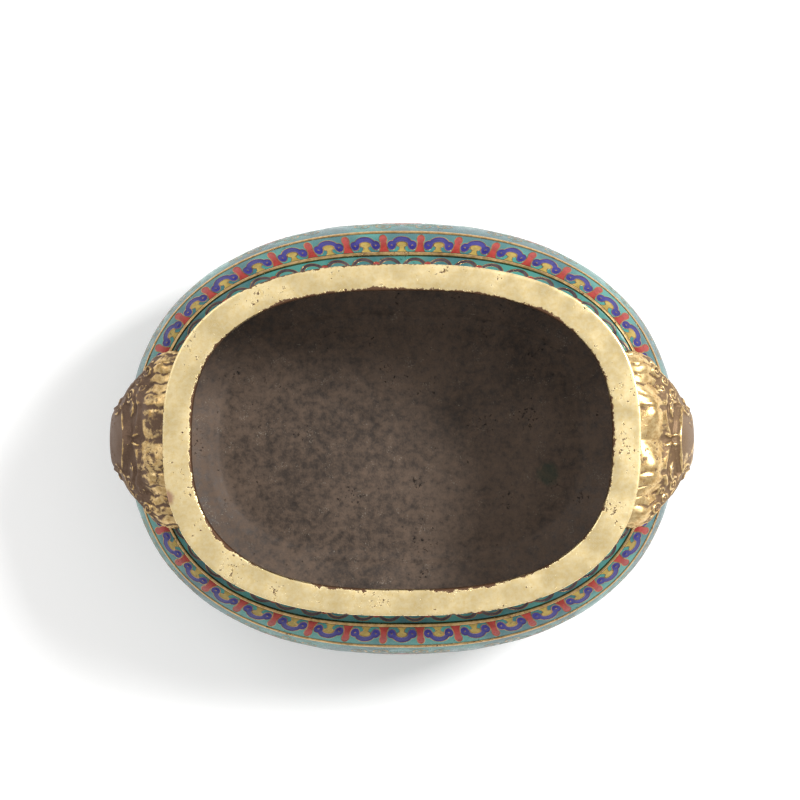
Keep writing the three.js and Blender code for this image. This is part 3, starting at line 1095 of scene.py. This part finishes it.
@dataclass
class RimCollar:
    """The broad flat gilt rim with its rounded edges and the lip inside the mouth."""

    edge: float = 0.8
    lip_depth: float = 7.0
    lip_wall: float = 1.8
    columns: int = 720

    def section(self) -> list[tuple[float, float]]:
        """The rim's section.

        Returns:
            Offsets inward from the rim's outer edge, with heights.
        """
        span = RIM.a - MOUTH.a
        under = HEIGHT - RIM_THICKNESS
        bevel = [(1 - math.cos(turn), 1 - math.sin(turn)) for turn in np.radians(range(0, 91, 18))]
        r = self.edge
        points = [(r / 2, under), (0.1, under + 0.35)]
        points += [(r * along, HEIGHT - r * down) for along, down in bevel]
        points += [(span * share, HEIGHT) for share in np.linspace(0.15, 0.85, 12)]
        points += [(span - r * along, HEIGHT - r * down) for down, along in bevel]
        points += [(span, HEIGHT - self.lip_depth * share) for share in (0.4, 0.7, 0.97)]
        inner = span - self.lip_wall
        points += [(span - 0.3, HEIGHT - self.lip_depth), (inner + 0.3, HEIGHT - self.lip_depth)]
        points += [(inner, HEIGHT - self.lip_depth + 0.3), (inner, under)]
        return points

    def build(self, finish: Material) -> Object:
        """Makes the rim, its flat top a little uneven from hammering and filing.

        Args:
            finish: its material.

        Returns:
            The rim.
        """
        section = np.array(self.section())
        span = RIM.a - MOUTH.a
        angle = column_angles(self.columns)
        share = (section[:, 0] / span)[:, None]
        x, y = WALL.ring(WALL.between(RIM, MOUTH, share), angle)
        z = np.broadcast_to(section[:, 1][:, None], x.shape)
        dent = 0.10 * (1 + ripple(x, y, 30.0, 3)) + 0.02 * (1 + ripple(x, y, 6.0, 4))
        top = z > HEIGHT - 1.2
        z = np.where(top, z - dent, z)
        inner = np.clip((share - 0.75) / 0.25, 0, 1) * top
        z = z - inner * 0.18 * (1 + ripple(x, y, 17.0, 6))
        piece = sweep("gilt_rim", np.stack([x, y, z], axis=-1), finish)
        edge = np.minimum(share * 1.6 + 0.06, 1 - share) * span
        add_field(piece, "edge", np.broadcast_to(np.clip(edge, 0, 6), x.shape))
        finish_piece(piece, Slot.GILT, "rim_collar")
        return piece


@dataclass
class Foot:
    """The waisted foot that spreads to a flat hem."""

    top_inset: float = 35.0
    waist_inset: float = 38.0
    hem_inset: float = 34.5
    wall: float = 3.4
    columns: int = 540

    def build(self, finish: Material) -> Object:
        """Makes the foot ring.

        Args:
            finish: its material.

        Returns:
            The foot ring.
        """
        top = FLOOR_UNDER - SEAT_GAP
        outer = [
            (self.hem_inset + 0.25, 0.0),
            (self.hem_inset - 0.1, 0.35),
            (self.hem_inset - 0.35, 1.4),
            (self.hem_inset - 0.1, 2.5),
            (self.hem_inset + 0.6, 3.2),
            (self.hem_inset + 1.6, 4.2),
            (self.waist_inset - 0.7, 6.4),
            (self.waist_inset, 8.5),
            (self.waist_inset - 0.2, 10.2),
            (self.top_inset + 1.6, top),
        ]
        inner = [
            (self.waist_inset + self.wall, top),
            (self.waist_inset + self.wall, 3.2),
            (self.hem_inset + self.wall + 1.2, 0.0),
        ]
        section = np.array(outer + inner)
        angle = column_angles(self.columns)
        t = (section[:, 0] / WALL.rim_inset)[:, None]
        x, y = WALL.ring(WALL.between(BELLY, RIM, t), angle)
        z = np.broadcast_to(section[:, 1][:, None], x.shape)
        piece = sweep("foot_rim", np.stack([x, y, z], axis=-1), finish)
        finish_piece(piece, Slot.GILT, "foot_ring")
        return piece


@dataclass
class Bowl:
    """The copper bowl: dark inside, with a hammered floor."""

    columns: int = 360
    hammer: float = 0.22
    middle_inset: float = 104.0
    floor_rings: tuple[float, ...] = (4, 10, 18, 27, 36, 46, 56, 60)

    def build(self, finish: Material) -> Object:
        """Makes the bowl as a closed shell.

        Args:
            finish: its material.

        Returns:
            The bowl.
        """
        foot = WALL.angle_at(WALL.foot_inset, False) - 5
        neck = WALL.angle_at(WALL.neck_inset, True)
        body = WALL.section(np.linspace(foot, neck, 40))
        throat = WALL.neck(np.linspace(NECK_START, 90, 10))
        last = tuple(np.array([s[-1]]) for s in throat)
        mouth = (last[0], np.array([WALL.mouth_level]), last[2], last[3])
        outline = [np.concatenate(parts) for parts in zip(body, throat, mouth)]
        skin = ENAMEL + BACKING_GAP
        inset, z, out_in, out_z = outline
        outer = np.stack([inset - out_in * skin, z - out_z * skin], axis=-1)
        deep = skin + COPPER
        inner = np.stack([inset - out_in * deep, z - out_z * deep], axis=-1)[::-1]
        floor = FLOOR_UNDER + COPPER
        inner = inner[inner[:, 1] > floor + 1.5]
        first = outer[0, 0]
        ease = [(first + COPPER - 0.9, floor + 0.7), (first + COPPER + 1.4, floor)]
        under = [(self.middle_inset, FLOOR_UNDER), (first + 2, FLOOR_UNDER)]
        spread = [(first + COPPER + 1.4 + d, floor) for d in self.floor_rings]
        section = np.concatenate([under, outer, inner, ease, spread])
        angle = column_angles(self.columns)
        t = (section[:, 0] / WALL.rim_inset)[:, None]
        a, b, n = WALL.between(BELLY, RIM, t)
        x, y = WALL.ring((np.maximum(a, 2.0), np.maximum(b, 1.5), n), angle)
        z = np.broadcast_to(section[:, 1][:, None], x.shape)
        inside = np.arange(len(section))[:, None] >= len(under) + len(outer)
        beaten = self.hammer * ripple(x + z, y, 13.0, 8)
        z = z + np.where(inside & (z < 90), beaten * (z < floor + 3), 0)
        piece = sweep("copper_bowl", np.stack([x, y, z], axis=-1), finish, capped=True)
        finish_piece(piece, Slot.PATINA, "bowl_upper_wall", "bowl_lower_wall", "bowl_floor")
        return piece


# Masks

MM_PER_DEGREE = 0.55


@dataclass(frozen=True)
class Stroke:
    """A raised or cut line on the mask, as points across in mm and up in section degrees."""

    path: tuple[tuple[float, float], ...]
    width: float
    height: float


def curl(
    across: float,
    degrees: float,
    radius: float,
    turns: float,
    start: float,
    height: float,
    width: float = 0.85,
    hand: int = 1,
) -> Stroke:
    """A spiral stroke.

    Args:
        across: its middle across, in millimetres.
        degrees: its middle up the mask, in section degrees.
        radius: its outer radius in millimetres.
        turns: how often it winds.
        start: the angle of its outer end, in degrees.
        height: how far it stands up.
        width: how wide it is.
        hand: 1 or -1, the way it turns.

    Returns:
        The stroke.
    """
    points = spiral(across, degrees * MM_PER_DEGREE, radius, turns, start, hand)
    path = tuple((x, t / MM_PER_DEGREE) for x, t in points)
    return Stroke(path, width, height)


def bump(u: Array, v: Array) -> Array:
    """A round bump, 1 at its middle."""
    return np.exp(-(u * u + v * v))


@dataclass(frozen=True)
class Swelling:
    """A round swelling or hollow on both halves of the mask, in mm and section degrees."""

    height: float
    across: float
    spread: float
    up: float
    tall: float

    def over(self, side: Array, degrees: Array) -> Array:
        """Its height at places on the mask."""
        shape = bump((side - self.across) / self.spread, (degrees - self.up) / self.tall)
        return self.height * shape


SWELLINGS = (
    Swelling(2.6, 12.6, 6.4, 71, 10),  # forehead lobe
    Swelling(-0.9, 0, 3.2, 74, 14),  # furrow
    Swelling(2.2, 33, 3.6, 70, 12),  # wing
    Swelling(-1.8, 24, 2.6, 66, 10),  # fold
    Swelling(2.2, 13.7, 2.7, 51.5, 3.4),  # eye
    Swelling(-0.7, 13.7, 0.9, 51, 1.4),  # pupil
    Swelling(0.6, 11, 3, 19, 7),  # nostril
    Swelling(2.6, 9, 1.3, -0.5, 5),  # fang
    Swelling(1.5, 1.5, 1.1, 1.5, 2),  # front tooth
    Swelling(1.5, 4.4, 1.1, 1.5, 2),  # side tooth
    Swelling(1.2, 0, 8, -11, 6),  # chin
    Swelling(0.35, 5.5, 0.6, 27, 1.1),  # whisker pore
    Swelling(0.35, 8.5, 0.6, 24, 1.1),  # whisker pore
    Swelling(0.35, 7, 0.6, 31, 1.1),  # whisker pore
    Swelling(0.35, 10, 0.6, 29, 1.1),  # whisker pore
)


def ease(value: Array, low: float, high: float) -> Array:
    """0 below low, 1 above high and smooth between."""
    t = np.clip((value - low) / (high - low), 0, 1)
    return t * t * (3 - 2 * t)


@dataclass
class MaskHandle:
    """A cast lion mask folded over the shoulder, with curls, brows, muzzle and beard."""

    side: Side
    top: float = 86.0
    chin: float = -26.0
    rows: int = 300
    columns: int = 260
    crest_top: float = 50.0
    crest_fall: float = 13.0
    muzzle_half: float = 15.2
    tip_room: float = 0.03
    tip_ease: float = 1.5
    blur_rounds: int = 12
    outline: tuple[tuple[float, float], ...] = (
        (-26, 8), (-22, 13), (-12, 16.5), (0, 17.5), (10.5, 20), (18, 23.4), (26, 26),
        (36, 28.6), (45, 31.8), (51, 35.3), (58, 39), (70, 41), (86, 40),
    )

    def strokes(self) -> list[Stroke]:
        """The lines chased and cast on one half of the mask.

        Returns:
            The strokes.
        """
        ridge = ((0, 50), (4, 49.1), (8, 46.4), (12, 41.9), (15.2, 37))
        made = [
            Stroke(ridge, 0.75, 1.15),
            curl(13.4, 31, 3.0, 1.4, 70, 1.0),
            curl(19.6, 46, 3.3, 1.5, 200, 1.25, 0.9, -1),
            curl(26.2, 51, 2.3, 1.3, 250, 0.9, 0.75, -1),
            curl(23.0, 57.5, 1.8, 1.2, 60, 0.8, 0.7),
            curl(16.2, 15, 3.0, 1.4, 120, 1.1),
            curl(13.6, 3, 2.6, 1.4, 100, 1.0),
            curl(30.5, 58.5, 2.6, 1.4, 230, 1.0, 0.8, -1),
            Stroke(((16, 38), (21, 39.5), (25.5, 43.5), (28.8, 49), (31, 55), (34.5, 60)), 0.8, 0.95),
            Stroke(((2.5, 56.5), (6, 59.5), (11, 61), (16, 59.5), (19.5, 56)), 1.6, 1.25),
            Stroke(((10.2, 51.3), (12, 54), (15.5, 54), (17.4, 51.3)), 0.55, 0.6),
            Stroke(((0, 64), (0, 86)), 1.5, -0.3),
            Stroke(((2.2, 50), (1.2, 55), (2.4, 60)), 0.7, 0.7),
        ]
        for k in range(5):
            y = 19 + 4.4 * k
            lock = ((y, 62), (y + 2.0, 69), (y + 1.2, 77), (y + 2.6, 85))
            made.append(Stroke(lock, 0.7, -0.35))
        for k in range(4):
            y = 1.6 + 3.1 * k
            beard = ((y, -7), (y * 0.96 + 0.5, -14), (y * 0.82, -20), (y * 0.7, -25))
            made.append(Stroke(beard, 0.6, -0.9))
        for k in range(3):
            made.append(Stroke(((17 + 1.2 * k, 20 + 6 * k), (21 + 1.6 * k, 22 + 6 * k)), 0.6, -0.7))
        return made

    def relief(self, degrees: Array, y: Array, width: Array) -> Array:
        """Height of the mask over the enamel.

        Args:
            degrees: places up the mask, in section degrees.
            y: places across it, in millimetres.
            width: its half width at each height.

        Returns:
            The height at each place.
        """
        side = np.abs(y)
        inside = np.clip(1 - (side / width) ** 2.6, 0, None)
        form = 4.7 * inside**0.6 * (1 - 0.45 * ease(side, 20, 36))
        form += 2.2 * ease(degrees, 60, 86) * inside**0.5
        for swelling in SWELLINGS:
            form += swelling.over(side, degrees)
        muzzle = (1 - ease(side, 13.8, 16.4)) * ease(degrees, 3, 12)
        crest = self.crest_top - self.crest_fall * (side / self.muzzle_half) ** 2
        dome = np.sqrt(np.clip(1 - (side / 16.0) ** 2, 0, 1))
        form += 3.3 * muzzle * dome * (1 - ease(degrees, crest - 2.5, crest))
        form -= 1.5 * (1 - dome) * muzzle
        form -= 3.4 * (1 - ease(side, 9, 14)) * bump(0, (degrees + 1) / 3.2)
        for line in self.strokes():
            path = [(across, up * MM_PER_DEGREE) for across, up in line.path]
            away = strokes(side, degrees * MM_PER_DEGREE, path)
            form += line.height * np.exp(-((away / line.width) ** 2))
        border = np.clip((width - side) / 1.2, 0, 1)
        return 1.3 * border**0.5 + np.clip(form, 0, None) * border

    def build(self, finish: Material) -> Object:
        """Makes the mask as a carved front closed by a back inside the enamel.

        Args:
            finish: the mask's material.

        Returns:
            The mask.
        """
        degrees = np.linspace(self.chin, self.top, self.rows)[:, None]
        knots = np.array(self.outline)
        width = np.interp(degrees, knots[:, 0], knots[:, 1])
        kernel = np.hanning(15) / np.hanning(15).sum()
        smooth = np.convolve(np.pad(width[:, 0], 7, mode="edge"), kernel, "valid")[:, None]
        scallop = 0.5 * np.sin(degrees * 0.55) * ease(degrees, -10, 10)
        width = smooth - np.abs(scallop) * ease(90 - degrees, 4, 20)
        across = np.linspace(-1, 1, self.columns)[None, :]
        y = (0.35 * np.sin(across * np.pi / 2) + 0.65 * across) * width
        h = self.relief(degrees, y, width)
        inset, z, out_in, out_z = WALL.section(degrees)
        a, b, n = WALL.between(BELLY, RIM, inset / WALL.rim_inset)
        share = np.minimum(0.999, np.abs(y) / b)
        x = a * (1 - share**n) ** (1 / n)
        nx = (x / a) ** (n - 1) / a
        ny = np.sign(y) * share ** (n - 1) / b
        plan = np.hypot(nx, ny)
        level = -out_in
        out = np.stack([nx / plan * level, ny / plan * level, out_z + 0 * x], axis=-1)
        wall = np.stack([x, y, z + 0 * x], axis=-1)
        front = wall + out * h[..., None]
        front[..., 0] = self.clear_of_rim(front)
        front[..., 0] = self.within_box(front[..., 0])
        back = wall - out * 0.6
        points = np.concatenate([front.reshape(-1, 3), back.reshape(-1, 3)])
        points[:, 0] *= self.side.value
        points[:, 1] *= self.side.value
        faces = self.faces()
        name = f"{self.side.name.lower()}_lion_mask"
        piece = make_object(name, points, faces, finish)
        relief = self.worn_field(h, degrees, y)
        add_field(piece, "relief", np.concatenate([relief.ravel(), np.zeros(relief.size)]))
        finish_piece(piece, Slot.BRONZE, f"{self.side.name.lower()}_mask_handle")
        return piece

    def clear_of_rim(self, front: Array) -> Array:
        """Moves points that would lie under the rim out past its edge.

        Args:
            front: points of the mask's front.

        Returns:
            The x of each point.
        """
        share = np.float64(1.0 - SEAT_GAP / WALL.rim_inset)
        a, b, n = (float(value) for value in WALL.between(BELLY, RIM, share))
        across = np.minimum(0.999, np.abs(front[..., 1]) / b)
        edge = a * (1 - across**n) ** (1 / n)
        under = HEIGHT - RIM_THICKNESS - SEAT_GAP - 0.2
        return np.where(front[..., 2] > under, np.maximum(front[..., 0], edge + 0.4), front[..., 0])

    def within_box(self, x: Array) -> Array:
        """Presses the muzzle's tip back gently, so that it stays inside the CAD part's box.

        Args:
            x: how far out each point lies, in millimetres.

        Returns:
            The same, no further out than the box.
        """
        start = CAD_BOUNDS[1][0] / MM - self.tip_room - self.tip_ease
        past = np.maximum(x - start, 0)
        return np.minimum(x, start) + self.tip_ease * np.tanh(past / self.tip_ease)

    def worn_field(self, h: Array, degrees: Array, y: Array) -> Array:
        """How much each place is rubbed: less than 0 in hollows, more on crests and the brow.

        Args:
            h: the mask's height.
            degrees: places up the mask, in section degrees.
            y: places across it, in millimetres.

        Returns:
            The field that the gilding reads.
        """
        blurred = h.copy()
        for _ in range(self.blur_rounds):
            blurred[1:-1, 1:-1] = (
                blurred[:-2, 1:-1] + blurred[2:, 1:-1] + blurred[1:-1, :-2] + blurred[1:-1, 2:]
            ) / 4
        rubbed = np.clip((h - blurred) * 1.1, -0.4, 0.4)
        muzzle = bump(np.abs(y) / 13, (degrees - 26) / 15)
        return rubbed + 0.30 * ease(degrees, 58, 68) - 0.10 * muzzle

    def faces(self) -> list[list[int]]:
        """Faces of the front, the back and the wall between them.

        Returns:
            Vertex indices for each face.
        """
        count = self.rows * self.columns
        grid = np.arange(count).reshape(self.rows, self.columns)
        quads = np.stack([grid[:-1, :-1], grid[:-1, 1:], grid[1:, 1:], grid[1:, :-1]], axis=-1)
        front = quads.reshape(-1, 4)
        loop = np.concatenate([grid[0, :-1], grid[:-1, -1], grid[-1, :0:-1], grid[:0:-1, 0]])
        after = np.roll(loop, -1)
        side = np.stack([after, loop, loop + count, after + count], axis=-1)
        return np.concatenate([front, front[:, ::-1] + count, side]).tolist()


# Stage


@dataclass
class Studio:
    """A white floor, soft light from the upper right, and a camera straight above."""

    pixel: float = 0.45
    frame_pixels: int = 800
    centre: tuple[float, float] = (402.0, 440.0)
    distance: float = 1440.0
    sensor: float = 36.0
    floor_half: float = 3.0
    floor_glow: float = 0.17
    sky: Colour = (1.0, 0.995, 0.985)
    sky_strength: float = 0.67

    def build(self) -> None:
        """Makes the floor, the lights, the world and the camera."""
        scene = bpy.context.scene
        scene.view_settings.view_transform = "Standard"
        self.floor()
        self.light("key_light", (1.2, 0.6, 1.5), 0.5, 34.0)
        self.light("fill_light", (-1.2, 0.9, 1.6), 1.2, 8.0)
        world = bpy.data.worlds.new("studio")
        world.use_nodes = True
        nodes = Nodes(world.node_tree)
        sky = world.node_tree.nodes["Background"]
        nodes.feed(sky, {"Color": rgba(self.sky), "Strength": self.sky_strength})
        scene.world = world
        self.camera()

    def floor(self) -> None:
        """A pale floor under the foot."""
        half = self.floor_half
        mesh = bpy.data.meshes.new("floor")
        corners = [(-half, -half, 0), (half, -half, 0), (half, half, 0), (-half, half, 0)]
        mesh.from_pydata(corners, [], [(0, 1, 2, 3)])
        floor = bpy.data.objects.new("floor", mesh)
        bpy.context.scene.collection.objects.link(floor)
        material, nodes, shader, where = new_material("pale_floor")
        paper = nodes.noise(where, 900.0, 3.0)
        tone = nodes.mix(paper, rgba((0.90, 0.90, 0.90)), rgba((0.93, 0.93, 0.93)))
        nodes.feed(shader, {"Base Color": tone, "Roughness": 0.85})
        nodes.feed(shader, {"Emission Color": (1, 1, 1, 1), "Emission Strength": self.floor_glow})
        mesh.materials.append(material)

    def light(
        self, name: str, place: tuple[float, float, float], size: float, power: float
    ) -> None:
        """Adds a square soft light that faces the burner.

        Args:
            name: the light's name.
            place: where it hangs, in metres.
            size: its side in metres.
            power: its power in watts.
        """
        data = bpy.data.lights.new(name, "AREA")
        data.size = size
        data.energy = power
        lamp = bpy.data.objects.new(name, data)
        lamp.location = place
        aim = -lamp.location
        lamp.rotation_euler = aim.to_track_quat("-Z", "Y").to_euler()
        bpy.context.scene.collection.objects.link(lamp)

    def camera(self) -> None:
        """Looks straight down, with the burner's middle where the photograph has it."""
        data = bpy.data.cameras.new("camera")
        data.sensor_width = self.sensor
        data.lens = self.sensor * self.distance / (self.pixel * self.frame_pixels)
        data.clip_end = 20.0
        camera = bpy.data.objects.new("camera", data)
        middle = self.frame_pixels / 2
        x = (middle - self.centre[0]) * self.pixel
        y = (self.centre[1] - middle) * self.pixel
        camera.location = (x * MM, y * MM, (HEIGHT + self.distance) * MM)
        bpy.context.scene.collection.objects.link(camera)
        bpy.context.scene.camera = camera


def enamel_fields() -> list[EnamelField]:
    """The four enamel fields with their patterns.

    Returns:
        The fields, from the neck down.
    """
    gap = 1.1
    shoulder = (WALL.shoulder_inset + gap * 0.55, WALL.neck_inset - gap * 0.95)
    clear = 1.4
    lower = WALL.angle_at(WALL.lower_inset, False)
    belly = (lower + clear, WALL.angle_at(WALL.shoulder_inset, True) - 1.5 * clear)
    petals = (WALL.angle_at(WALL.foot_inset, False) + clear, lower - clear)
    return [
        EnamelField(
            Field.NECK, "neck_enamel", 0, 1, 26, 48, 1560,
            (Cell("scroll", AUBERGINE), Cell("bud", CORAL)),
        ),
        EnamelField(
            Field.SHOULDER, "shoulder_enamel", *shoulder, 40, 44, 2400,
            (Cell("cloud", LAPIS), Cell("cap", OCHRE), Cell("curl", OCHRE), Cell("peg", CORAL)),
            0.04,
        ),
        EnamelField(
            Field.BELLY, "belly_enamel", *belly, 12, 110, 1440,
            (
                Cell("vine", OCHRE), Cell("leaf", LEAF), Cell("bud", CORAL),
                Cell("outer", CORAL), Cell("middle", OCHRE), Cell("heart", LAPIS),
            ),
            0.5,
        ),
        EnamelField(
            Field.PETALS, "petal_border_enamel", *petals, 40, 40, 1360,
            (
                Cell("gap", CORAL), Cell("petal", LAPIS),
                Cell("heart", TURQUOISE), Cell("core", OCHRE),
            ),
        ),
    ]


def dress_cad(gilt: Material, dark: Material) -> None:
    """Gives the CAD pieces that stay their own finishes.

    Args:
        gilt: the gilding for the base plate.
        dark: the patina for the rivets.
    """
    for name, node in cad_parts.items():
        if "rivet" in name or name == "base_plate":
            node.data.materials.clear()
            node.data.materials.append(dark if "rivet" in name else gilt)
            LOG.info("%s keeps its CAD shape", name)


def main() -> None:
    """Builds every piece of the burner in order."""
    logging.basicConfig(level=logging.INFO, format="%(message)s")
    Studio().build()
    groups = {"pitting": pitting_group(), "cell": cell_group()}
    verdigris = Stain((70.0, -17.5, 15.5), 6.5, (0.02, 0.06, 0.032), 0.45)
    patina = PatinaFinish("brown_patina", stains=(verdigris,)).build(groups)
    copper_stain = Stain((-106.0, -26.0, HEIGHT), 4.2, (0.42, 0.20, 0.15), 0.75)
    rim_gilt = GiltFinish(
        "rim_gilding", stains=(copper_stain,), pit_scale=620.0, pits=0.062, edge_field="edge"
    ).build(groups)
    foot_gilt = GiltFinish("foot_gilding", pits=0.04).build(groups)
    wire_gilt = GiltFinish(
        "wire_gilding", gold=(0.38, 0.23, 0.09), pale=(0.58, 0.39, 0.18), pit_scale=900.0, pits=0.08
    ).build(groups)
    right = GiltFinish(
        "right_mask_gilding", gold=(0.50, 0.31, 0.12), pale=(0.78, 0.59, 0.30),
        brown=(0.12, 0.075, 0.04), wear_field="relief", wear_level=0.17, pits=0.05,
    ).build(groups)
    # The left mask's gold, pale and brown are darker copies of the right mask's colours: painted
    # shade for the side away from the key light. It also turns brown over more of its relief.
    left = GiltFinish(
        "left_mask_gilding_painted_shade", gold=(0.44, 0.27, 0.10), pale=(0.70, 0.51, 0.25),
        brown=(0.085, 0.052, 0.034), wear_field="relief", wear_level=0.33, pits=0.06,
    ).build(groups)
    Bowl().build(patina)
    for band in enamel_fields():
        band.build(groups)
    for name, inset, upper in (
        ("neck_fillet", WALL.neck_inset, True),
        ("shoulder_fillet", WALL.shoulder_inset, True),
        ("lower_fillet", WALL.lower_inset, False),
        ("foot_fillet", WALL.foot_inset, False),
    ):
        Fillet(name, inset, upper).build(wire_gilt)
    RimCollar().build(rim_gilt)
    Foot().build(foot_gilt)
    MaskHandle(Side.RIGHT).build(right)
    MaskHandle(Side.LEFT).build(left)
    dress_cad(foot_gilt, patina)


if __name__ == "__main__":
    main()
